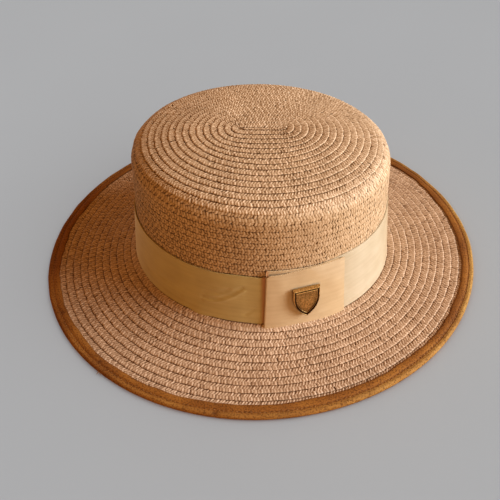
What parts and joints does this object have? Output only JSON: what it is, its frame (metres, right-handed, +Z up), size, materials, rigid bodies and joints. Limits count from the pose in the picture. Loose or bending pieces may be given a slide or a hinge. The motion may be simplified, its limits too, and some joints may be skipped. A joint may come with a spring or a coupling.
{
  "type": "flat-crown straw hat",
  "caption": "Wide-brimmed straw hat with an oval flat-topped crown, a ribbon band with folded tab and plain shield pin, and a tape-bound brim edge, worn on the head for shade.",
  "frame": {"origin": "under the middle of the brim, on the surface that the brim's edge rests on", "axes": "+X to the front of the hat, along its longest extent; +Y to the wearer's left; +Z up, along its shortest extent"},
  "size_m": [0.35, 0.321, 0.1228],
  "materials": {
    "straw": "sewn rows of paper straw braid, matte",
    "binding": "brown folded tape, matte",
    "ribbon": "cream-gold satin ribbon, soft sheen",
    "badge": "antique brass with dark patina"
  },
  "bodies": {
    "root": {"crown": "straw", "brim": "straw", "brim_binding": "binding", "hat_band": "ribbon", "band_tab": "ribbon", "badge": "badge"}
  },
  "joints": []
}
